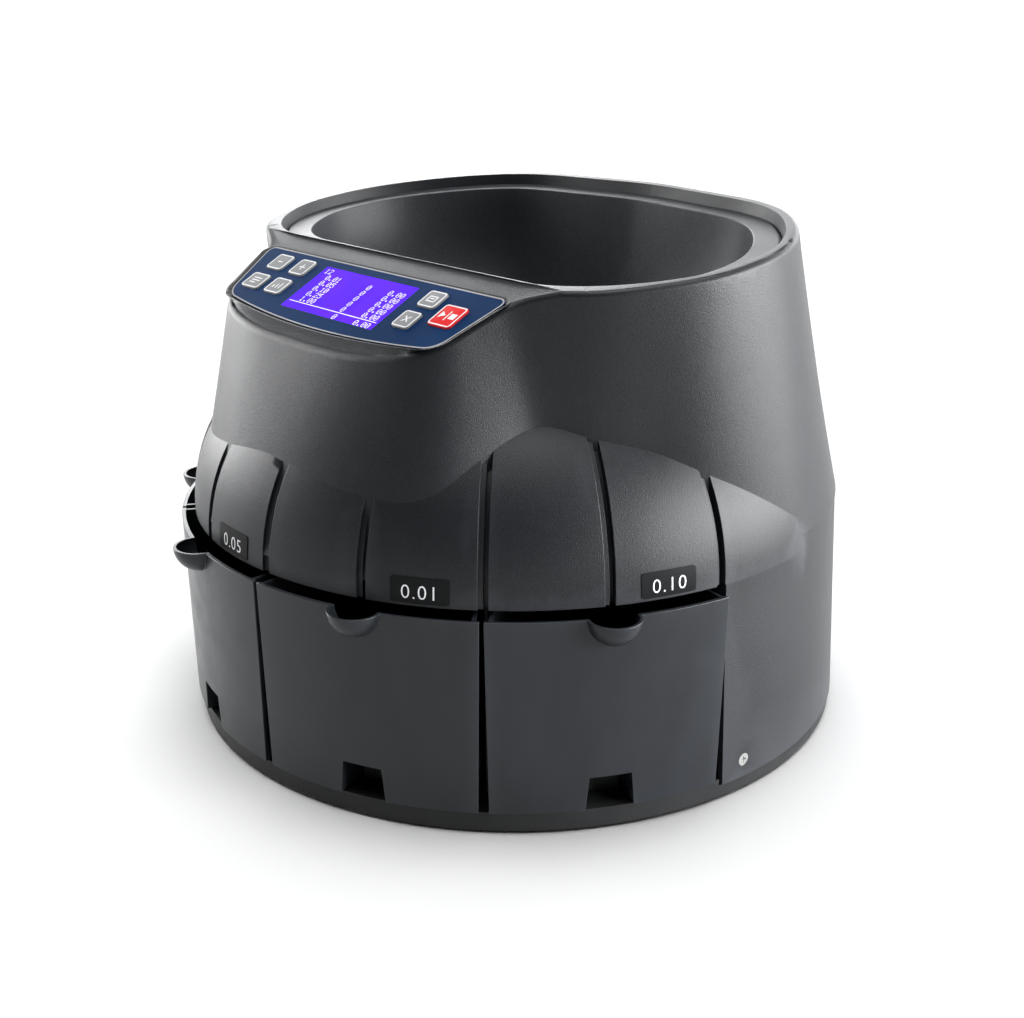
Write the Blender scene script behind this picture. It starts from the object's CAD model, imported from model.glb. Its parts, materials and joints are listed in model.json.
import json
from math import atan2, cos, degrees, hypot, pi, radians, sin, sqrt

import bmesh
import bpy
from mathutils import Matrix, Vector


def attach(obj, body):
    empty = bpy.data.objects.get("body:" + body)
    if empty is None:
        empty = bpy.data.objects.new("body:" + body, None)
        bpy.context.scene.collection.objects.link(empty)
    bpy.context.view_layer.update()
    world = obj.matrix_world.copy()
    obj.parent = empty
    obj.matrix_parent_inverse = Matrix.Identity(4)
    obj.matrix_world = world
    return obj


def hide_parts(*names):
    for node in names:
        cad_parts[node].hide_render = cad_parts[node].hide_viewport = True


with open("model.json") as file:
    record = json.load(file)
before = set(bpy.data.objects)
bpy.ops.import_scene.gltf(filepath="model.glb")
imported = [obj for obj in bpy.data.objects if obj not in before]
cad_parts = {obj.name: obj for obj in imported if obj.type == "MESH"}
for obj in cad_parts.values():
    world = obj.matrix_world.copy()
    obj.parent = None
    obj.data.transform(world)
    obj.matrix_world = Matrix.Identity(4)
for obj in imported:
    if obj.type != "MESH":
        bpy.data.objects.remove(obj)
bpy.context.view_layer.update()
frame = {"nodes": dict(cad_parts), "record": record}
NODES = frame["nodes"]
MM = 0.001

# Named values shared with the solids, in millimetres and degrees.
PITCH = 37.8
LAST_EDGE = 80.9
DRAWER_ANGLES = [LAST_EDGE - PITCH * (number + 0.5) for number in range(5)]
DOME_CENTRE = (77.2, 104.0)
DOME_RADIUS = 85.0
LABEL_Z = 110.3
PANEL_TILT = 27.35
PANEL_ORIGIN = Vector((0, -110, 211.2)) * MM
RIM_SLOPE = 0.1
SCREEN = (0.0, 10.7)
SCREEN_SIZE = (69.0, 31.0)
KEYS = {
    "key_minus": (-67.5, 21.3, 12.4, 11.2),
    "key_plus": (-48.8, 21.2, 12.0, 11.3),
    "key_mode": (-68.5, 5.8, 13.8, 10.8),
    "key_report": (-50.0, 6.0, 12.6, 11.0),
    "key_menu": (49.2, 20.8, 11.8, 10.9),
    "key_clear": (47.8, 6.0, 11.3, 11.0),
    "key_start": (67.2, 13.5, 14.6, 13.7),
}
KEY_TOP = 0.6
LABEL_TEXTS = ("0.10", "0.01", "0.05", "0.25", "1.00")

# The panel's own axes: across, up the slope and out of it.
PANEL = Matrix.Translation(PANEL_ORIGIN) @ Matrix.Rotation(radians(PANEL_TILT), 4, "X")
PANEL_NORMAL = (PANEL.to_3x3() @ Vector((0, 0, 1))).normalized()
RIM_NORMAL = Vector((0, -RIM_SLOPE, 1)).normalized()
RIM_POINT = Vector((0, 0, 237.8)) * MM


# ---- Camera, light and floor -------------------------------------------------------------------

CAMERA_PLACE = (0.52636, -0.4756, 0.34969)
CAMERA_TURN = (69.888, 0.19, 47.968)
LENS = 50.98

# Light of the surroundings: from the camera's side to the far side, from below to above, and from
# left to right. Each stop is a share of the way and a level.
WORLD_TURN = -48
WORLD_DEPTH = ((0.0, 0.02), (0.28, 0.04), (0.5, 0.45), (0.75, 0.9), (1.0, 1.0))
WORLD_RISE = ((0.0, 1.0), (0.67, 1.0), (0.76, 0.1), (1.0, 0.06))
WORLD_SIDE = ((0.0, 0.5), (0.3, 0.55), (0.5, 1.0), (1.0, 1.0))
WORLD_TINT = (0.97, 0.985, 1.0)
WORLD_STRENGTH = 5.0
FLOOR_GREY = 0.9
FLOOR_RADIUS = 60
FLOOR_SIDES = 96
SUN_STRENGTH = 2.85
SUN_SOFTNESS = 50

# Soft boxes: place and size in metres, power in watts. All of them look at one point.
SOFT_BOXES = {
    "right_light": ((1.08, 0.68, 0.34), (1.3, 0.8), 62),
    "left_light": ((-1.1, -0.32, 0.4), (0.6, 0.6), 11),
    "back_light": ((-0.95, 0.6, 0.6), (0.5, 0.4), 4),
}
SOFT_BOX_AIM = (0, 0, 0.15)


def add_camera():
    """Camera at the viewing angle of the photograph, in front of the machine's right side."""
    data = bpy.data.cameras.new("view")
    data.sensor_width = 36
    data.lens = LENS
    data.clip_end = 100
    camera = bpy.data.objects.new("view", data)
    camera.location = CAMERA_PLACE
    camera.rotation_euler = [radians(angle) for angle in CAMERA_TURN]
    bpy.context.scene.collection.objects.link(camera)
    bpy.context.scene.camera = camera


def add_area(name, place, size, power):
    """Soft box that looks at the machine."""
    data = bpy.data.lights.new(name, "AREA")
    data.shape = "RECTANGLE"
    data.size, data.size_y = size
    data.energy = power
    light = bpy.data.objects.new(name, data)
    light.location = place
    outlook = Vector(SOFT_BOX_AIM) - Vector(place)
    light.rotation_euler = outlook.to_track_quat("-Z", "Y").to_euler()
    light.visible_camera = False
    bpy.context.scene.collection.objects.link(light)
    return light


def add_sun():
    """Even light from straight above, which keeps the floor white up to its edge."""
    data = bpy.data.lights.new("sun", "SUN")
    data.energy = SUN_STRENGTH
    data.angle = radians(SUN_SOFTNESS)
    bpy.context.scene.collection.objects.link(bpy.data.objects.new("sun", data))


def fill_ramp(ramp, stops):
    """Gives a colour ramp its stops, each a position and a colour."""
    elements = ramp.color_ramp.elements
    while len(elements) < len(stops):
        elements.new(0.5)
    for element, (position, colour) in zip(elements, stops):
        element.position = position
        element.color = (*colour, 1)


def world_ramp(tree, value, stops, tint=(1, 1, 1)):
    """Grey ramp over a direction's component, which runs from -1 to 1."""
    half = tree.nodes.new("ShaderNodeMapRange")
    half.inputs["From Min"].default_value = -1
    ramp = tree.nodes.new("ShaderNodeValToRGB")
    fill_ramp(ramp, [(position, [level * part for part in tint]) for position, level in stops])
    tree.links.new(value, half.inputs["Value"])
    tree.links.new(half.outputs["Result"], ramp.inputs["Fac"])
    return ramp.outputs["Color"]


def add_world():
    """Bright low surroundings behind the machine, dim ones above, on its left and at the camera."""
    world = bpy.data.worlds.new("studio")
    bpy.context.scene.world = world
    world.use_nodes = True
    tree = world.node_tree
    background = tree.nodes["Background"]
    coordinates = tree.nodes.new("ShaderNodeTexCoord")
    turn = tree.nodes.new("ShaderNodeMapping")
    turn.inputs["Rotation"].default_value = (0, 0, radians(WORLD_TURN))
    direction = tree.nodes.new("ShaderNodeSeparateXYZ")
    tree.links.new(coordinates.outputs["Generated"], turn.inputs["Vector"])
    tree.links.new(turn.outputs["Vector"], direction.inputs["Vector"])
    light = world_ramp(tree, direction.outputs["Y"], WORLD_DEPTH, WORLD_TINT)
    for axis, stops in (("Z", WORLD_RISE), ("X", WORLD_SIDE)):
        product = tree.nodes.new("ShaderNodeMix")
        product.data_type = "RGBA"
        product.blend_type = "MULTIPLY"
        product.inputs["Factor"].default_value = 1
        tree.links.new(light, product.inputs["A"])
        tree.links.new(world_ramp(tree, direction.outputs[axis], stops), product.inputs["B"])
        light = product.outputs["Result"]
    tree.links.new(light, background.inputs["Color"])
    background.inputs["Strength"].default_value = WORLD_STRENGTH


def add_floor():
    """Wide pale floor under the rubber feet, which fills the picture behind the machine."""
    bm = bmesh.new()
    bmesh.ops.create_circle(bm, cap_ends=True, segments=FLOOR_SIDES, radius=FLOOR_RADIUS)
    mesh = bpy.data.meshes.new("floor")
    bm.to_mesh(mesh)
    bm.free()
    floor = bpy.data.objects.new("floor", mesh)
    bpy.context.scene.collection.objects.link(floor)
    floor.data.materials.append(plain("floor_paper", [FLOOR_GREY] * 3, 0.9))
    return floor


def spare_floor(lights, floor):
    """Keeps the soft boxes off the floor, so that it is as white near the machine as far away."""
    spared = bpy.data.collections.new("spared_by_soft_boxes")
    spared.objects.link(floor)
    spared.collection_objects[0].light_linking.link_state = "EXCLUDE"
    for light in lights:
        light.light_linking.receiver_collection = spared


# ---- Materials ----------------------------------------------------------------------------------

PLASTIC_SHINE = 0.3
FILM_SHINE = 0.1
BEVEL_SAMPLES = 6
TRACK_SCALE = 220

# How pointed an edge is where its rub starts, and where it is rubbed fully.
RUBBED = [(0.52, (0, 0, 0)), (0.62, (1, 1, 1))]


class Shader:
    """A material's node tree with the few joins that the finishes below need."""

    def __init__(self, name, colour, roughness, metallic=0.0):
        self.material = bpy.data.materials.new(name)
        self.material.use_nodes = True
        self.tree = self.material.node_tree
        self.surface = self.tree.nodes["Principled BSDF"]
        self.set("Base Color", (*colour, 1))
        self.set("Roughness", roughness)
        self.set("Metallic", metallic)
        self.place = self.tree.nodes.new("ShaderNodeTexCoord").outputs["Object"]
        self.normal = None

    def set(self, socket, value):
        self.surface.inputs[socket].default_value = value

    def link(self, output, node_input):
        self.tree.links.new(output, node_input)

    def noise(self, size, detail, stretch=(1, 1, 1)):
        """Noise whose blobs are about size millimetres across."""
        mapping = self.tree.nodes.new("ShaderNodeMapping")
        mapping.inputs["Scale"].default_value = stretch
        self.link(self.place, mapping.inputs["Vector"])
        node = self.tree.nodes.new("ShaderNodeTexNoise")
        node.inputs["Scale"].default_value = 1 / (size * MM)
        node.inputs["Detail"].default_value = detail
        self.link(mapping.outputs["Vector"], node.inputs["Vector"])
        return node.outputs["Fac"]

    def ramp(self, value, stops):
        """Colours over a value from 0 to 1."""
        node = self.tree.nodes.new("ShaderNodeValToRGB")
        fill_ramp(node, stops)
        self.link(value, node.inputs["Fac"])
        return node.outputs["Color"]

    def mix(self, share, first, second, mode="MIX"):
        """Mix of two colours, each a tuple or a node's output."""
        node = self.tree.nodes.new("ShaderNodeMix")
        node.data_type = "RGBA"
        node.blend_type = mode
        for value, name in ((share, "Factor"), (first, "A"), (second, "B")):
            socket = node.inputs[name]
            if isinstance(value, (int, float)):
                socket.default_value = value
            elif isinstance(value, tuple):
                socket.default_value = (*value, 1)
            else:
                self.link(value, socket)
        return node.outputs["Result"]

    def colour(self, output):
        self.link(output, self.surface.inputs["Base Color"])

    def roughness(self, value, low, high):
        """Roughness between two levels, by a value from 0 to 1."""
        node = self.tree.nodes.new("ShaderNodeMapRange")
        node.inputs["To Min"].default_value = low
        node.inputs["To Max"].default_value = high
        self.link(value, node.inputs["Value"])
        self.link(node.outputs["Result"], self.surface.inputs["Roughness"])

    def bump(self, height, depth, strength):
        """Bump of a depth in millimetres, on top of the ones added before."""
        node = self.tree.nodes.new("ShaderNodeBump")
        node.inputs["Strength"].default_value = strength
        node.inputs["Distance"].default_value = depth * MM
        self.link(height, node.inputs["Height"])
        if self.normal is not None:
            self.link(self.normal, node.inputs["Normal"])
        self.normal = node.outputs["Normal"]
        self.link(self.normal, self.surface.inputs["Normal"])

    def soft_edges(self, radius):
        """Rounds the shading of edges too fine for the mesh, by a radius in millimetres."""
        node = self.tree.nodes.new("ShaderNodeBevel")
        node.samples = BEVEL_SAMPLES
        node.inputs["Radius"].default_value = radius * MM
        self.normal = node.outputs["Normal"]

    def edges(self, base, light):
        """Base colour, a little lighter where an edge is rubbed."""
        geometry = self.tree.nodes.new("ShaderNodeNewGeometry")
        share = self.ramp(geometry.outputs["Pointiness"], RUBBED)
        return self.mix(share, base, light)


def plain(name, colour, roughness):
    """Even paper-like finish with a faint tooth."""
    shader = Shader(name, colour, roughness)
    cloud = shader.noise(400, 2)
    shader.colour(shader.ramp(cloud, [(0.3, [0.98 * part for part in colour]), (0.7, colour)]))
    return shader.material


def moulded(name, dark, light, roughness, grain, depth, strength):
    """Moulded plastic: a pitted grain, faint clouds, and paler rubbed edges."""
    shader = Shader(name, light, roughness)
    shader.soft_edges(0.5)
    fine = shader.noise(grain, 4)
    broad = shader.noise(35, 3)
    speckle = shader.ramp(fine, [(0.36, dark), (0.66, light)])
    cloud = shader.ramp(broad, [(0.3, (0.9, 0.9, 0.9)), (0.7, (1.06, 1.06, 1.06))])
    base = shader.mix(1.0, speckle, cloud, "MULTIPLY")
    rubbed = tuple(min(1.0, 1.5 * part + 0.01) for part in light)
    shader.colour(shader.edges(base, rubbed))
    shader.roughness(broad, roughness - 0.05, roughness + 0.05)
    shader.bump(fine, depth, strength)
    shader.bump(shader.noise(grain * 3.5, 2), depth * 0.6, strength * 0.25)
    shader.set("Specular IOR Level", PLASTIC_SHINE)
    return shader.material


def smooth_plastic(name, dark, light, roughness, coat=0.0):
    """Polished moulding: faint flow marks, smudges in the gloss and fine scratches."""
    shader = Shader(name, light, roughness)
    flow = shader.noise(28, 4, (1, 1, 0.5))
    smudge = shader.noise(11, 5)
    scratch = shader.noise(0.8, 2, (1, 1, 0.04))
    base = shader.ramp(flow, [(0.3, dark), (0.7, light)])
    rubbed = tuple(min(1.0, 1.6 * part + 0.012) for part in light)
    shader.colour(shader.edges(base, rubbed))
    shader.roughness(smudge, roughness - 0.08, roughness + 0.12)
    shader.bump(flow, 0.12, 0.35)
    shader.bump(scratch, 0.01, 0.25)
    shader.set("Coat Weight", coat)
    shader.set("Coat Roughness", 0.15)
    shader.set("Specular IOR Level", PLASTIC_SHINE)
    return shader.material


def brushed(name, dark, light, roughness, stretch):
    """Brushed or turned metal."""
    shader = Shader(name, light, roughness, 1.0)
    lines = shader.noise(0.5, 3, stretch)
    stain = shader.noise(12, 3)
    base = shader.ramp(lines, [(0.35, dark), (0.65, light)])
    shader.colour(shader.mix(0.25, base, shader.ramp(stain, [(0.3, dark), (0.7, light)])))
    shader.roughness(stain, roughness - 0.06, roughness + 0.1)
    shader.bump(lines, 0.02, 0.4)
    return shader.material


def rubber(name, colour):
    """Matt rubber with a dusty bloom."""
    shader = Shader(name, colour, 0.85)
    dust = shader.noise(3, 4)
    shader.colour(shader.ramp(dust, [(0.4, colour), (0.75, [part * 2 for part in colour])]))
    shader.bump(shader.noise(0.4, 3), 0.05, 0.6)
    return shader.material


def printed_film(name, dark, light, roughness):
    """Polyester sheet printed on its back, with a fine matt tooth."""
    shader = Shader(name, light, roughness)
    tooth = shader.noise(0.35, 2)
    wave = shader.noise(45, 2)
    shader.colour(shader.ramp(wave, [(0.3, dark), (0.7, light)]))
    shader.roughness(tooth, roughness - 0.04, roughness + 0.06)
    shader.bump(tooth, 0.01, 0.35)
    shader.set("Specular IOR Level", FILM_SHINE)
    return shader.material


def backlit(name, dark, light, strength):
    """Lit display: a violet field a little brighter at its middle, behind glass."""
    shader = Shader(name, dark, 0.25)
    wave = shader.noise(30, 1)
    field = shader.ramp(wave, [(0.3, dark), (0.7, light)])
    shader.colour(field)
    shader.link(field, shader.surface.inputs["Emission Color"])
    shader.set("Emission Strength", strength)
    shader.set("Specular IOR Level", FILM_SHINE)
    return shader.material


def laminate(name):
    """Green circuit board with paler tracks and soldered spots."""
    shader = Shader(name, (0.02, 0.12, 0.05), 0.4)
    cells = shader.tree.nodes.new("ShaderNodeTexVoronoi")
    cells.feature = "DISTANCE_TO_EDGE"
    cells.inputs["Scale"].default_value = TRACK_SCALE
    shader.link(shader.place, cells.inputs["Vector"])
    tracks = cells.outputs["Distance"]
    shader.colour(shader.ramp(tracks, [(0.04, (0.05, 0.22, 0.09)), (0.07, (0.015, 0.09, 0.04))]))
    shader.bump(tracks, 0.03, 0.3)
    return shader.material


SHELL = moulded(
    "textured_shell", (0.0055, 0.0063, 0.0078), (0.0125, 0.0143, 0.0175), 0.42, 0.5, 0.16, 0.8,
)
LEDGE = moulded("textured_bowl", (0.013, 0.0145, 0.017), (0.03, 0.033, 0.038), 0.42, 0.5, 0.13, 0.7)
DRAWER = smooth_plastic("satin_drawer", (0.0075, 0.009, 0.0115), (0.0125, 0.015, 0.019), 0.32, 0.1)
BASE = smooth_plastic("satin_base", (0.003, 0.0035, 0.004), (0.005, 0.0055, 0.006), 0.45)
FRAME_PLASTIC = moulded(
    "matt_frame", (0.012, 0.012, 0.014), (0.022, 0.022, 0.025), 0.55, 0.6, 0.08, 0.5,
)
BLACK = moulded("black_nylon", (0.008, 0.008, 0.009), (0.016, 0.016, 0.017), 0.45, 0.5, 0.05, 0.4)
FILM = printed_film("navy_film", (0.001, 0.02, 0.075), (0.0015, 0.027, 0.095), 0.24)
BORDER = printed_film("pale_border", (0.3, 0.3, 0.31), (0.4, 0.4, 0.41), 0.4)
KEY_GREY = printed_film("grey_key", (0.22, 0.225, 0.23), (0.26, 0.265, 0.27), 0.42)
KEY_RED = printed_film("red_key", (0.62, 0.012, 0.014), (0.74, 0.018, 0.018), 0.4)
WHITE_INK = printed_film("white_ink", (0.72, 0.73, 0.75), (0.82, 0.83, 0.85), 0.45)
LABEL = printed_film("black_label", (0.004, 0.0045, 0.005), (0.007, 0.0075, 0.008), 0.4)
VIOLET = backlit("violet_display", (0.045, 0.004, 0.75), (0.07, 0.007, 0.92), 0.9)
LCD_INK = backlit("pale_display_ink", (0.55, 0.5, 0.95), (0.62, 0.58, 1.0), 0.9)
SCREEN_EDGE = printed_film("dark_screen_edge", (0.006, 0.006, 0.01), (0.012, 0.012, 0.02), 0.3)
STEEL = brushed("brushed_steel", (0.42, 0.42, 0.43), (0.62, 0.62, 0.63), 0.32, (1, 1, 0.1))
SCREW_STEEL = brushed("screw_steel", (0.5, 0.5, 0.5), (0.75, 0.75, 0.74), 0.28, (1, 1, 1))
ZINC = brushed("zinc_plate", (0.3, 0.31, 0.32), (0.45, 0.46, 0.48), 0.4, (1, 1, 0.3))
TIN = brushed("tinned_port", (0.55, 0.55, 0.55), (0.75, 0.75, 0.75), 0.25, (0.3, 1, 1))
RUBBER = rubber("black_rubber", (0.012, 0.012, 0.012))
BOARD = laminate("circuit_board")

CAD_FINISHES = {
    "shell_plastic": SHELL, "drawer_plastic": DRAWER, "base_plastic": BASE, "bowl_plastic": LEDGE,
    "frame_plastic": FRAME_PLASTIC, "overlay_film": FILM, "display_glass": VIOLET,
    "display_case": BLACK, "key_pale": KEY_GREY, "key_red": KEY_RED, "label_film": LABEL,
    "foot_rubber": RUBBER, "steel": STEEL, "motor_metal": ZINC, "board": BOARD,
    "black_plastic": BLACK, "port_metal": TIN,
}


def finish_cad():
    """Gives every CAD node the procedural finish of its slot."""
    for subpart in frame["record"]["subparts"]:
        node = NODES[subpart["node"]]
        node.data.materials.clear()
        material = CAD_FINISHES[subpart["material_slot"]]
        if "screws" in subpart["node"]:
            material = SCREW_STEEL
        node.data.materials.append(material)


# ---- Mesh helpers -------------------------------------------------------------------------------

CORNER_STEPS = 6
CIRCLE_STEPS = 24

# Angles up to which the edges of a piece are shaded smooth.
SMOOTH_COVER = 28
SMOOTH_PRINT = 30
SMOOTH_KEY = 35
SMOOTH_COPY = 60


def make_piece(name, bm, material, body, smooth):
    """Turns a bmesh into a piece that rides on a body, smooth up to an angle in degrees."""
    bmesh.ops.recalc_face_normals(bm, faces=bm.faces)
    mesh = bpy.data.meshes.new(name)
    bm.to_mesh(mesh)
    bm.free()
    mesh.materials.append(material)
    mesh.polygons.foreach_set("use_smooth", [True] * len(mesh.polygons))
    mesh.set_sharp_from_angle(angle=radians(smooth))
    piece = bpy.data.objects.new(name, mesh)
    bpy.context.scene.collection.objects.link(piece)
    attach(piece, body)
    return piece


def join_rings(bm, low, high):
    """Faces between two rings of the same number of points."""
    for index, corner in enumerate(low):
        following = (index + 1) % len(low)
        bm.faces.new((corner, low[following], high[following], high[index]))


def loft(bm, loops):
    """Closed skin through loops of the same number of points, capped at both ends."""
    rings = [[bm.verts.new(point) for point in loop] for loop in loops]
    for low, high in zip(rings, rings[1:]):
        join_rings(bm, low, high)
    bm.faces.new(reversed(rings[0]))
    bm.faces.new(rings[-1])


def band(bm, loops):
    """Closed ring: a skin through loops that comes back to its first loop."""
    rings = [[bm.verts.new(point) for point in loop] for loop in loops]
    for low, high in zip(rings, rings[1:] + rings[:1]):
        join_rings(bm, low, high)


def rounded_rectangle(centre, width, height, radius):
    """Points of a rectangle with round corners, counter-clockwise."""
    points = []
    corners = ((1, -1, -90), (1, 1, 0), (-1, 1, 90), (-1, -1, 180))
    for side, end, start in corners:
        x = centre[0] + side * (width / 2 - radius)
        y = centre[1] + end * (height / 2 - radius)
        for step in range(CORNER_STEPS + 1):
            angle = radians(start + 90 * step / CORNER_STEPS)
            points.append((x + radius * cos(angle), y + radius * sin(angle)))
    return points


def circle(centre, radius):
    """Points of a circle, counter-clockwise."""
    angles = [2 * pi * step / CIRCLE_STEPS for step in range(CIRCLE_STEPS)]
    return [(centre[0] + radius * cos(angle), centre[1] + radius * sin(angle)) for angle in angles]


def on_panel(points, height):
    """Panel points and a height above its face, in millimetres, as places in the frame."""
    return [PANEL @ (Vector((u, v, height)) * MM) for u, v in points]


def slab(bm, points, low, high):
    """Flat block on the panel between two heights."""
    loft(bm, [on_panel(points, low), on_panel(points, high)])


def panel_frame(bm, outer, inner, low, high):
    """Flat frame on the panel between two outlines and two heights."""
    section = ((outer, low), (outer, high), (inner, high), (inner, low))
    band(bm, [on_panel(points, height) for points, height in section])


def bar(bm, start, end, width, low, high):
    """Flat stroke on the panel, with square ends."""
    run = Vector((end[0] - start[0], end[1] - start[1])).normalized()
    side = Vector((-run.y, run.x)) * width / 2
    points = [
        (start[0] - side.x, start[1] - side.y), (end[0] - side.x, end[1] - side.y),
        (end[0] + side.x, end[1] + side.y), (start[0] + side.x, start[1] + side.y),
    ]
    slab(bm, points, low, high)


def text_mesh(words, size, spacing, thinned):
    """Letters of the built-in font as a solid one millimetre deep, centred, in millimetres."""
    curve = bpy.data.curves.new("letters", "FONT")
    curve.body = words
    curve.size = size
    curve.align_x = "CENTER"
    curve.align_y = "CENTER"
    curve.space_character = spacing
    curve.extrude = 0.5
    curve.offset = -thinned
    curve.resolution_u = 3
    holder = bpy.data.objects.new("letters", curve)
    mesh = bpy.data.meshes.new_from_object(holder)
    bpy.data.objects.remove(holder)
    bpy.data.curves.remove(curve)
    bm = bmesh.new()
    bm.from_mesh(mesh)
    bpy.data.meshes.remove(mesh)
    bmesh.ops.remove_doubles(bm, verts=bm.verts, dist=1e-4)
    return bm


# ---- Moulded shells with rounded edges ----------------------------------------------------------

# All lengths here are in millimetres and all angles in degrees.
SEAM_RADIUS = 160.2
SEAM_HEIGHTS = (103.9, 121.0)
SEAM_ANGLES = ((81.0, 100.4), (-127.4, -108.6))
SEAM_STEP = 0.03
SEAM_LOWEST_RISE = 0.3
SHOULDER_Z = 112.0
SHOULDER_SLACK = 0.1
LOFT_TOP_Z = 252.0
REAR_RADIUS = 161.9

# Top outline at the back: the angle from the front, then the radius and its change for a degree.
REAR_TOP = (
    (110.0, (140.0, -0.5)), (120.0, (134.5, -0.57)), (130.0, (128.6, -0.7)),
    (140.0, (120.7, -0.88)), (158.1, (105.4, -0.47)), (180.0, (101.3, 0.0)), (201.9, (105.4, 0.47)),
)
REAR_START = 124.0
REAR_END = 179.4
REAR_FADE_TURN = 8
REAR_HIGH_Z = 236.0
REAR_FADE_HEIGHT = 25
REAR_REACH = 10.0
BODY_WALL = 3.0
CROWN_ROUND = 2.6
CROWN_STEPS = 6
CROWN_LOW_Z = 180.0
SKIN_LOW = 190.0
SKIN_TURN = 25
WALL_RISE = 12
ON_SURFACE = 0.03
WELD = 0.02
FLAT_TURN = 0.3
SHARP_TURN = 35
BEVEL_SEGMENTS = 2
BOWL_EDGE = 0.4
DRAWER_EDGE = 0.35

# Least cosine between two directions that count as the same, for flat faces and for lent normals.
SAME_PLANE = 0.9995
SEAM_ALIKE = 0.8
BACK_ALIKE = 0.9

# Cosines between a wall's faces and the way out, below which they are on its inner side.
INSIDE_MOST = 0.2
INSIDE_LEAST = -0.5


def edge_turn(edge):
    """Angle between an edge's two faces."""
    return degrees(edge.calc_face_angle(0)) if len(edge.link_faces) == 2 else 0


def on_top(face):
    """Whether a face lies in the plane of the rim or of the control panel."""
    level = max(face.normal.dot(RIM_NORMAL), face.normal.dot(PANEL_NORMAL))
    return level > SAME_PLANE and face.calc_center_median().z > CROWN_LOW_Z * MM


def is_wall(face):
    """Whether a face runs well down the side of the cover."""
    heights = [vert.co.z for vert in face.verts]
    return max(heights) - min(heights) > WALL_RISE * MM


def crown_depth(place):
    """How far a place lies under the rim's plane and the panel's plane, whichever is nearer."""
    under_rim = (RIM_POINT - place).dot(RIM_NORMAL)
    under_panel = (PANEL_ORIGIN - place).dot(PANEL_NORMAL)
    return min(under_rim, under_panel)


def mark_skin(bm, marked):
    """Marks the faces of the cover's outer skin, from the wall under the crown's edge outwards."""
    queue = []
    for edge in bm.edges:
        flat = [face for face in edge.link_faces if on_top(face)]
        sides = [face for face in edge.link_faces if is_wall(face) and not on_top(face)]
        if len(flat) == 1 and len(sides) == 1 and edge_turn(edge) > SHARP_TURN:
            sides[0][marked] = 1
            queue.append(sides[0])
    while queue:
        for edge in queue.pop().edges:
            for face in edge.link_faces:
                high = max(vert.co.z for vert in face.verts) > SKIN_LOW * MM
                if not face[marked] and edge_turn(edge) < SKIN_TURN and high:
                    face[marked] = 1
                    queue.append(face)


def cut_skin(bm, marked, point, normal):
    """Cuts the marked faces by a plane."""
    parts = set()
    for face in bm.faces:
        if face[marked]:
            parts.add(face)
            parts.update(face.edges)
            parts.update(face.verts)
    bmesh.ops.bisect_plane(bm, geom=list(parts), dist=1e-6, plane_co=point, plane_no=normal)


def round_crown(bm):
    """Quarter round along the outer top edge: the wall is cut in steps and leans inwards."""
    marked = bm.faces.layers.int.new("skin")
    mark_skin(bm, marked)
    radius = CROWN_ROUND * MM
    for step in range(CROWN_STEPS):
        depth = radius * (1 - sin(pi / 2 * step / CROWN_STEPS))
        cut_skin(bm, marked, RIM_POINT - RIM_NORMAL * depth, RIM_NORMAL)
        cut_skin(bm, marked, PANEL_ORIGIN - PANEL_NORMAL * depth, PANEL_NORMAL)
    moves = {}
    for vert in bm.verts:
        skin = [face for face in vert.link_faces if face[marked]]
        depth = crown_depth(vert.co)
        if skin and depth < radius:
            outward = sum((face.normal * face.calc_area() for face in skin), Vector())
            outward = Vector((outward.x, outward.y, 0)).normalized()
            lean = radius - sqrt(max(0.0, radius ** 2 - (radius - max(0.0, depth)) ** 2))
            moves[vert] = outward * lean
    for vert, move in moves.items():
        vert.co -= move
        store_normal(bm, vert)


def keep_normals(bm, mesh):
    """Stores each corner's exact normal, so that it survives merging and cutting."""
    kept = bm.loops.layers.float_vector.new("kept")
    for face, polygon in zip(bm.faces, mesh.polygons):
        for loop, corner in zip(face.loops, polygon.loop_indices):
            loop[kept] = mesh.corner_normals[corner].vector


def store_normal(bm, vert, normal=Vector(), alike=0):
    """Stores the normal at a corner point for the faces that look that way, none for the others."""
    kept = bm.loops.layers.float_vector["kept"]
    for loop in vert.link_loops:
        loop[kept] = normal if loop.face.normal.dot(normal) > alike else Vector()


def give_normals(mesh):
    """Shades the mesh by the stored normals, where it has any."""
    kept = mesh.attributes["kept"]
    mesh.normals_split_custom_set([corner.vector.normalized() for corner in kept.data])
    mesh.attributes.remove(mesh.attributes["kept"])


def close_seam(bm):
    """Brings the top of the rear wall flush with the ends of the petal skirt."""
    for vert in bm.verts:
        angle = degrees(atan2(vert.co.x, -vert.co.y))
        in_turn = any(low < angle < high for low, high in SEAM_ANGLES)
        in_height = SEAM_HEIGHTS[0] * MM < vert.co.z < SEAM_HEIGHTS[1] * MM
        radius = hypot(vert.co.x, vert.co.y)
        if in_turn and in_height and radius > SEAM_RADIUS * MM:
            rise = max(SEAM_LOWEST_RISE, vert.co.z / MM - DOME_CENTRE[1])
            reach = sqrt(DOME_RADIUS ** 2 - rise ** 2)
            share = (DOME_CENTRE[0] + reach) * MM / radius
            if abs(share - 1) * radius > SEAM_STEP * MM:
                outward = Vector((vert.co.x, vert.co.y, 0)) / radius
                normal = (outward * reach + Vector((0, 0, rise))).normalized()
                vert.co = Vector((vert.co.x * share, vert.co.y * share, vert.co.z))
                store_normal(bm, vert, normal, SEAM_ALIKE)


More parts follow.
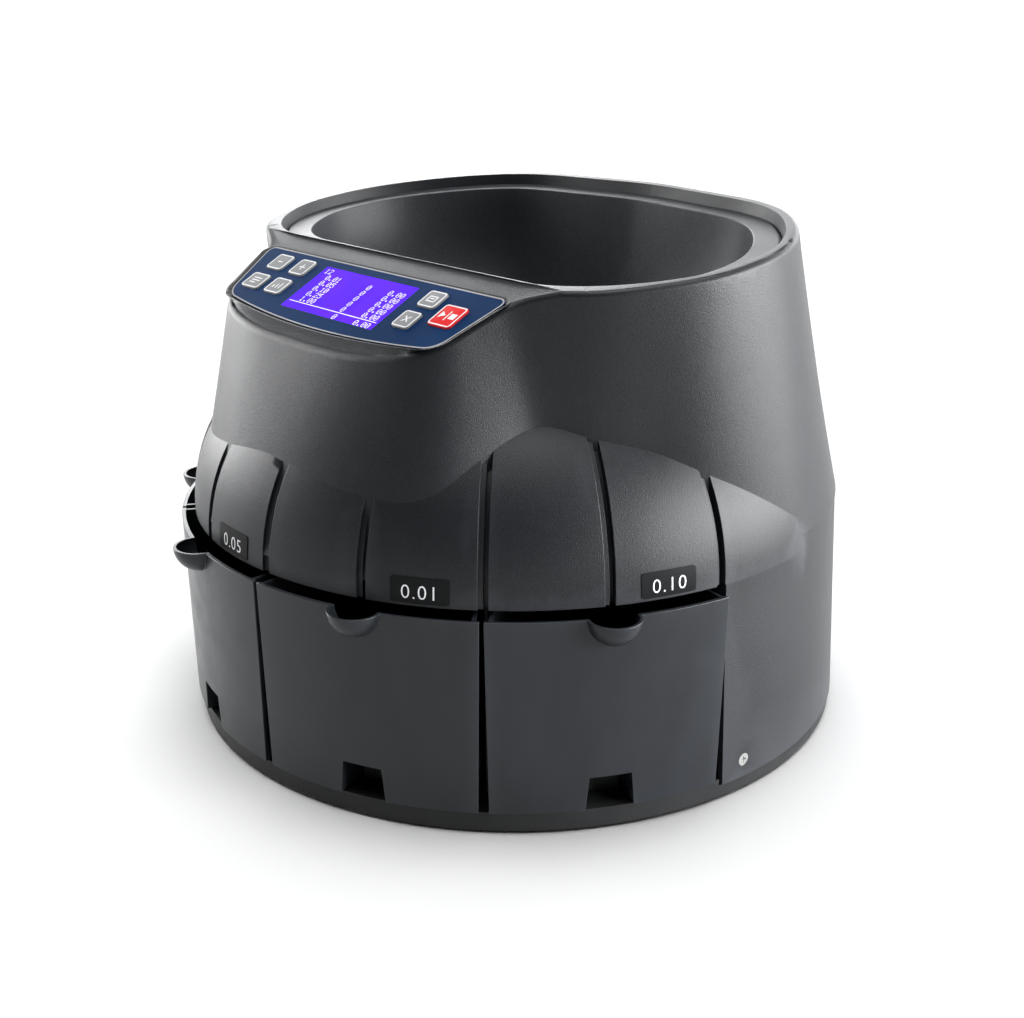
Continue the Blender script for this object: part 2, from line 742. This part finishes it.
def between(share, step, near, far):
    """Smooth curve between two values a step apart, each given with its slope."""
    values = near[0] * (1 + 2 * share) * (1 - share) ** 2 + far[0] * (3 - 2 * share) * share ** 2
    slopes = near[1] * share * (1 - share) ** 2 - far[1] * (1 - share) * share ** 2
    return values + step * slopes


def rear_radius(turn, height):
    """Radius of the cover's upper body at the back: ruled from the shoulder to the top outline."""
    turn = abs(turn)
    for (low, near), (high, far) in zip(REAR_TOP, REAR_TOP[1:]):
        if low <= turn <= high:
            top = between((turn - low) / (high - low), high - low, near, far)
    rise = (height - SHOULDER_Z) / (LOFT_TOP_Z - SHOULDER_Z)
    return REAR_RADIUS + (top - REAR_RADIUS) * rise


def rear_normal(turn, height, outward):
    """Direction that the back faces, from its change over a millimetre up and a degree round."""
    lean = rear_radius(turn, height) - rear_radius(turn, height + 1)
    swing = degrees(rear_radius(turn + 0.5, height) - rear_radius(turn - 0.5, height))
    along = Vector((-outward.y, outward.x, 0))
    return (outward + Vector((0, 0, lean)) - along * swing / rear_radius(turn, height)).normalized()


def smooth_back(bm):
    """Lays the back of the upper body, outside and inside, on one even surface.

    The solid has two folds there. The change fades in from the sides and from the crown's top.
    """
    kept = bm.loops.layers.float_vector["kept"]
    laid = {}
    for vert in bm.verts:
        turn = degrees(atan2(vert.co.x, -vert.co.y))
        height = vert.co.z / MM
        radius = hypot(vert.co.x, vert.co.y) / MM
        in_turn = REAR_START < abs(turn) < REAR_END
        if not (in_turn and SHOULDER_Z - SHOULDER_SLACK < height < REAR_HIGH_Z):
            continue
        outer = rear_radius(turn, height)
        if not outer - REAR_REACH < radius < outer + REAR_REACH:
            continue
        outward = Vector((vert.co.x, vert.co.y, 0)).normalized()
        faced = [loop[kept].dot(outward) for loop in vert.link_loops]
        inside = max(faced) < INSIDE_MOST and min(faced) < INSIDE_LEAST
        aside = min(1, (abs(turn) - REAR_START) / REAR_FADE_TURN)
        share = aside * min(1, (REAR_HIGH_Z - height) / REAR_FADE_HEIGHT)
        wanted = outer - (BODY_WALL if inside else 0)
        new = (radius + (wanted - radius) * share) * MM
        laid[vert] = rear_normal(turn, height, outward) * (-1 if inside else 1)
        vert.co = Vector((outward.x * new, outward.y * new, vert.co.z))
    bm.normal_update()
    for vert, normal in laid.items():
        store_normal(bm, vert, normal, BACK_ALIKE)


def take_normals(piece, node):
    """Lends the solid's exact normals to the piece wherever it lies on the solid's surface."""
    modifier = piece.modifiers.new("normals", "DATA_TRANSFER")
    modifier.object = NODES[node]
    modifier.use_loop_data = True
    modifier.data_types_loops = {"CUSTOM_NORMAL"}
    modifier.loop_mapping = "POLYINTERP_NEAREST"
    modifier.use_max_distance = True
    modifier.max_distance = ON_SURFACE * MM
    graph = bpy.context.evaluated_depsgraph_get()
    finished = bpy.data.meshes.new_from_object(piece.evaluated_get(graph))
    piece.modifiers.clear()
    piece.data = finished


def split_large_faces(bm):
    """Cuts faces of more than four corners into triangles, so that none lies across a hole."""
    bmesh.ops.triangulate(bm, faces=[face for face in bm.faces if len(face.verts) > 4])


def rounded_copy(node, name, material, body, width):
    """The solid's own shape with its edges rounded, in place of the sharp solid."""
    bm = bmesh.new()
    bm.from_mesh(NODES[node].data)
    bmesh.ops.remove_doubles(bm, verts=bm.verts, dist=WELD * MM)
    bmesh.ops.dissolve_limit(
        bm, angle_limit=radians(FLAT_TURN), verts=bm.verts, edges=bm.edges,
        use_dissolve_boundaries=False,
    )
    split_large_faces(bm)
    bmesh.ops.bevel(
        bm, geom=[edge for edge in bm.edges if edge_turn(edge) > SHARP_TURN], offset=width * MM,
        offset_type="OFFSET", segments=BEVEL_SEGMENTS, profile=0.5, affect="EDGES",
        clamp_overlap=False, material=-1,
    )
    piece = make_piece(name, bm, material, body, SMOOTH_COPY)
    take_normals(piece, node)
    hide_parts(node)


def make_cover():
    """The cover with its seams closed, its back made even and its crown's top edge rounded."""
    bm = bmesh.new()
    mesh = NODES["top_shell"].data
    bm.from_mesh(mesh)
    keep_normals(bm, mesh)
    bmesh.ops.remove_doubles(bm, verts=bm.verts, dist=WELD * MM)
    close_seam(bm)
    smooth_back(bm)
    round_crown(bm)
    split_large_faces(bm)
    piece = make_piece("cover", bm, SHELL, "housing", SMOOTH_COVER)
    give_normals(piece.data)
    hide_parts("top_shell")


# ---- Control panel -------------------------------------------------------------------------------

# Heights are above the panel's face. Print is sunk in a little, and a figure is rows of dots, each
# row a number of five bits.
FILM_TOP = -0.2
INK = 0.05
LINE_SUNK = 0.3
DOTS_SUNK = 0.1
SYMBOL_SUNK = 0.1
KEY_BORDER_SUNK = 0.12
SAME_LEVEL = 0.999
OUTLINE_WELD = 0.01
OUTLINE_LOW = -0.4
BORDER_EDGES = (0.1, 0.85)
DOTS = {
    "0": (14, 17, 19, 21, 25, 17, 14), "1": (4, 12, 4, 4, 4, 4, 14), "2": (14, 17, 1, 2, 4, 8, 31),
    "5": (31, 16, 30, 1, 1, 17, 14), ".": (0, 0, 0, 0, 0, 12, 12),
}
DOT_PITCH = 0.48
DOT_GAP = 0.06
DOT_COLUMNS = 5
ROW_PITCH = 4.1
ROW_TOP = 1.4

# Right ends of the display's columns, from its left edge, and the row of the sums under the rule.
CODE_END = 8
VALUE_END = 19
COUNT_END = 42
SUM_END = 66.5
SUM_ROW = 6.35
RULE_ENDS = (1.5, 67.5)
RULE_TOP = 1.6
RULE_WIDTH = 0.45

# Sections of a key, each a step in from its outline and a height, and of its stem.
CAP_STEPS = ((0, -3.5), (0, 0.3), (0.12, 0.48), (0.35, KEY_TOP - 0.03), (0.6, KEY_TOP))
CAP_CORNER = 2
FLANGE_STEPS = ((0.2, -4.4), (0, -4.2), (0, -3.6), (0.2, -3.4))
FLANGE_REACH = 2.4
STEM_STEPS = ((2.2, -6), (2.5, -5.7), (2.5, -4.3))

# Strokes of the plain symbol on each key, and the blocks on the red one.
STROKE_WIDTH = 0.65
KEY_STROKES = {
    "key_minus": [((-1.6, 0), (1.6, 0))],
    "key_plus": [((-2, 0), (2, 0)), ((0, -2), (0, 2))],
    "key_mode": [((-3, 1.7), (3, 1.7)), ((-3, 0), (3, 0)), ((-3, -1.7), (1, -1.7))],
    "key_report": [((-2.4, -2), (-2.4, 0)), ((0, -2), (0, 1)), ((2.4, -2), (2.4, 2))],
    "key_menu": [
        ((-2.6, -1.6), (2.6, -1.6)), ((-2.6, 1.6), (2.6, 1.6)), ((-2.4, -1.6), (-2.4, 1.6)),
        ((2.4, -1.6), (2.4, 1.6)), ((-1.2, 0.2), (1.2, 0.2)),
    ],
    "key_clear": [((-1.8, -1.8), (1.8, 1.8)), ((-1.8, 1.8), (1.8, -1.8))],
    "key_start": [((0, -3), (0, 3))],
}
START_BLOCKS = (
    ((-4.6, -2.1), (-1.4, 0), (-4.6, 2.1)),
    ((1.5, -1.7), (4.9, -1.7), (4.9, 1.7), (1.5, 1.7)),
)


def top_outline(node, height):
    """Outer edge of a node's top face on the panel, as panel points counter-clockwise."""
    bm = bmesh.new()
    bm.from_mesh(NODES[node].data)
    bmesh.ops.remove_doubles(bm, verts=bm.verts, dist=OUTLINE_WELD * MM)
    back = PANEL.inverted()
    level = [face for face in bm.faces if face.normal.dot(PANEL_NORMAL) > SAME_LEVEL]
    top = {face for face in level if (back @ face.calc_center_median()).z > height * MM}
    edges = [edge for edge in bm.edges if sum(face in top for face in edge.link_faces) == 1]
    loops = []
    while edges:
        edge = edges.pop()
        first, vert = edge.verts
        loop = [first.co, vert.co]
        while vert is not first:
            edge = next(other for other in vert.link_edges if other in edges)
            edges.remove(edge)
            vert = edge.other_vert(vert)
            loop.append(vert.co)
        loops.append([(back @ place).xy / MM for place in loop[:-1]])
    bm.free()
    widest = max(loops, key=lambda loop: max(spot.x for spot in loop) - min(spot.x for spot in loop))
    area = sum(a.x * b.y - b.x * a.y for a, b in zip(widest, widest[1:] + widest[:1]))
    return widest if area > 0 else widest[::-1]


def moved_in(points, distance):
    """Closed counter-clockwise outline moved inwards by a distance."""
    result = []
    for index, point in enumerate(points):
        before = (Vector(point) - Vector(points[index - 1])).normalized()
        after = (Vector(points[(index + 1) % len(points)]) - Vector(point)).normalized()
        normal = (Vector((-before.y, before.x)) + Vector((-after.y, after.x))).normalized()
        lean = max(0.5, normal.dot(Vector((-before.y, before.x))))
        result.append(tuple(Vector(point) + normal * distance / lean))
    return result


def make_overlay_border():
    """Pale line printed along the edge of the panel's film."""
    outline = top_outline("panel_overlay", OUTLINE_LOW)
    outer, inner = (moved_in(outline, distance) for distance in BORDER_EDGES)
    bm = bmesh.new()
    panel_frame(bm, outer, inner, FILM_TOP - LINE_SUNK, FILM_TOP + INK)
    make_piece("overlay_border", bm, BORDER, "housing", SMOOTH_PRINT)


def make_screen_edge():
    """Dark line round the display's window."""
    bm = bmesh.new()
    outer = rounded_rectangle(SCREEN, SCREEN_SIZE[0] + 0.7, SCREEN_SIZE[1] + 0.7, 0.4)
    inner = rounded_rectangle(SCREEN, SCREEN_SIZE[0] - 0.3, SCREEN_SIZE[1] - 0.3, 0.3)
    panel_frame(bm, outer, inner, FILM_TOP - LINE_SUNK, FILM_TOP + INK / 2)
    make_piece("screen_edge", bm, SCREEN_EDGE, "housing", SMOOTH_PRINT)


def add_dots(bm, words, right, row):
    """Dot-matrix figures whose last dot ends at right, on a row counted down from the top."""
    top = SCREEN[1] + SCREEN_SIZE[1] / 2 - ROW_TOP - row * ROW_PITCH
    advance = DOT_COLUMNS + 1
    left = right - len(words) * advance * DOT_PITCH
    low, high = FILM_TOP - DOTS_SUNK, FILM_TOP + INK / 2
    for place, letter in enumerate(words):
        for line, bits in enumerate(DOTS[letter]):
            column = 0
            while column < DOT_COLUMNS:
                run = 0
                while column + run < DOT_COLUMNS and bits >> (DOT_COLUMNS - 1 - column - run) & 1:
                    run += 1
                if run:
                    start = left + (place * advance + column) * DOT_PITCH
                    height = top - (line + 0.5) * DOT_PITCH
                    end = start + run * DOT_PITCH - DOT_GAP
                    bar(bm, (start, height), (end, height), DOT_PITCH - DOT_GAP, low, high)
                column += run + 1


def make_screen_figures():
    """Rows of plain numbers: values on the left, counts in the middle, sums on the right."""
    bm = bmesh.new()
    edge = SCREEN[0] - SCREEN_SIZE[0] / 2
    for row, value in enumerate(sorted(LABEL_TEXTS), 1):
        add_dots(bm, value, edge + VALUE_END, row)
        add_dots(bm, "0", edge + COUNT_END, row)
        add_dots(bm, "0.00", edge + SUM_END, row)
    rule = SCREEN[1] + SCREEN_SIZE[1] / 2 - RULE_TOP - 6 * ROW_PITCH
    start, end = ((edge + place, rule) for place in RULE_ENDS)
    bar(bm, start, end, RULE_WIDTH, FILM_TOP - DOTS_SUNK, FILM_TOP + INK / 2)
    add_dots(bm, "0", edge + COUNT_END, SUM_ROW)
    add_dots(bm, "0.00", edge + SUM_END, SUM_ROW)
    add_dots(bm, "12", edge + CODE_END, 0)
    make_piece("screen_figures", bm, LCD_INK, "housing", SMOOTH_PRINT)


def key_slot(name):
    """Material slot of a key: one is red."""
    return "key_red" if name == "key_start" else "key_pale"


def make_key(name, u, v, width, depth):
    """Key with a softly rounded cap, its flange and its stem."""
    bm = bmesh.new()
    cap = []
    for step, height in CAP_STEPS:
        outline = rounded_rectangle((u, v), width - 2 * step, depth - 2 * step, CAP_CORNER - step)
        cap.append(on_panel(outline, height))
    loft(bm, cap)
    flange = []
    wide, deep = width + FLANGE_REACH, depth + FLANGE_REACH
    for step, height in FLANGE_STEPS:
        outline = rounded_rectangle((u, v), wide - 2 * step, deep - 2 * step, CAP_CORNER)
        flange.append(on_panel(outline, height))
    loft(bm, flange)
    loft(bm, [on_panel(circle((u, v), radius), height) for radius, height in STEM_STEPS])
    slot = key_slot(name)
    finish = CAD_FINISHES[slot]
    piece = make_piece(f"{name}_cap", bm, finish, f"{name}_body", SMOOTH_KEY)
    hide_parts(name)


def key_symbol(bm, name, u, v):
    """Plain symbol on a key's cap."""
    low, high = KEY_TOP - SYMBOL_SUNK, KEY_TOP + INK
    for start, end in KEY_STROKES[name]:
        bar(bm, (u + start[0], v + start[1]), (u + end[0], v + end[1]), STROKE_WIDTH, low, high)
    for block in START_BLOCKS if name == "key_start" else ():
        slab(bm, [(u + right, v + up) for right, up in block], low, high)


def make_key_print(name, u, v, width, depth):
    """White border and symbol printed on a key."""
    bm = bmesh.new()
    outer = rounded_rectangle((u, v), width - 0.7, depth - 0.7, 1.65)
    inner = rounded_rectangle((u, v), width - 2.0, depth - 2.0, 1.0)
    panel_frame(bm, outer, inner, KEY_TOP - KEY_BORDER_SUNK, KEY_TOP + INK)
    key_symbol(bm, name, u, v)
    make_piece(f"{name}_print", bm, WHITE_INK, f"{name}_body", SMOOTH_PRINT)


# ---- Labels --------------------------------------------------------------------------------------

FIGURE_SIZE = 8.8
FIGURE_SPACING = 1.12
FIGURE_THINNED = 0.1
FIGURE_LOW = 0.25
FIGURE_DEPTH = 0.12


def make_label_figures(number, angle):
    """Plain number on a label, bent to the round of the skirt."""
    bm = text_mesh(LABEL_TEXTS[number - 1], FIGURE_SIZE, FIGURE_SPACING, FIGURE_THINNED)
    for vert in bm.verts:
        height = LABEL_Z + vert.co.y
        depth = FIGURE_LOW + FIGURE_DEPTH * (vert.co.z > 0)
        radius = DOME_CENTRE[0] + sqrt((DOME_RADIUS + depth) ** 2 - (height - DOME_CENTRE[1]) ** 2)
        turn = radians(angle) + vert.co.x / radius
        vert.co = Vector((radius * sin(turn), -radius * cos(turn), height)) * MM
    make_piece(f"label_{number}_figures", bm, WHITE_INK, "housing", SMOOTH_PRINT)


# ---- Run -----------------------------------------------------------------------------------------

add_camera()
add_world()
add_sun()
spare_floor([add_area(name, *box) for name, box in SOFT_BOXES.items()], add_floor())
bpy.context.scene.view_settings.view_transform = "Standard"

finish_cad()
make_cover()
rounded_copy("hopper_bowl", "hopper", LEDGE, "housing", BOWL_EDGE)
make_overlay_border()
make_screen_edge()
make_screen_figures()
for name, place in KEYS.items():
    make_key(name, *place)
    make_key_print(name, *place)
for number, angle in enumerate(DRAWER_ANGLES, 1):
    drawer = f"drawer_{number}"
    rounded_copy(f"coin_{drawer}", f"{drawer}_tray", DRAWER, drawer, DRAWER_EDGE)
    make_label_figures(number, angle + PITCH / 4)
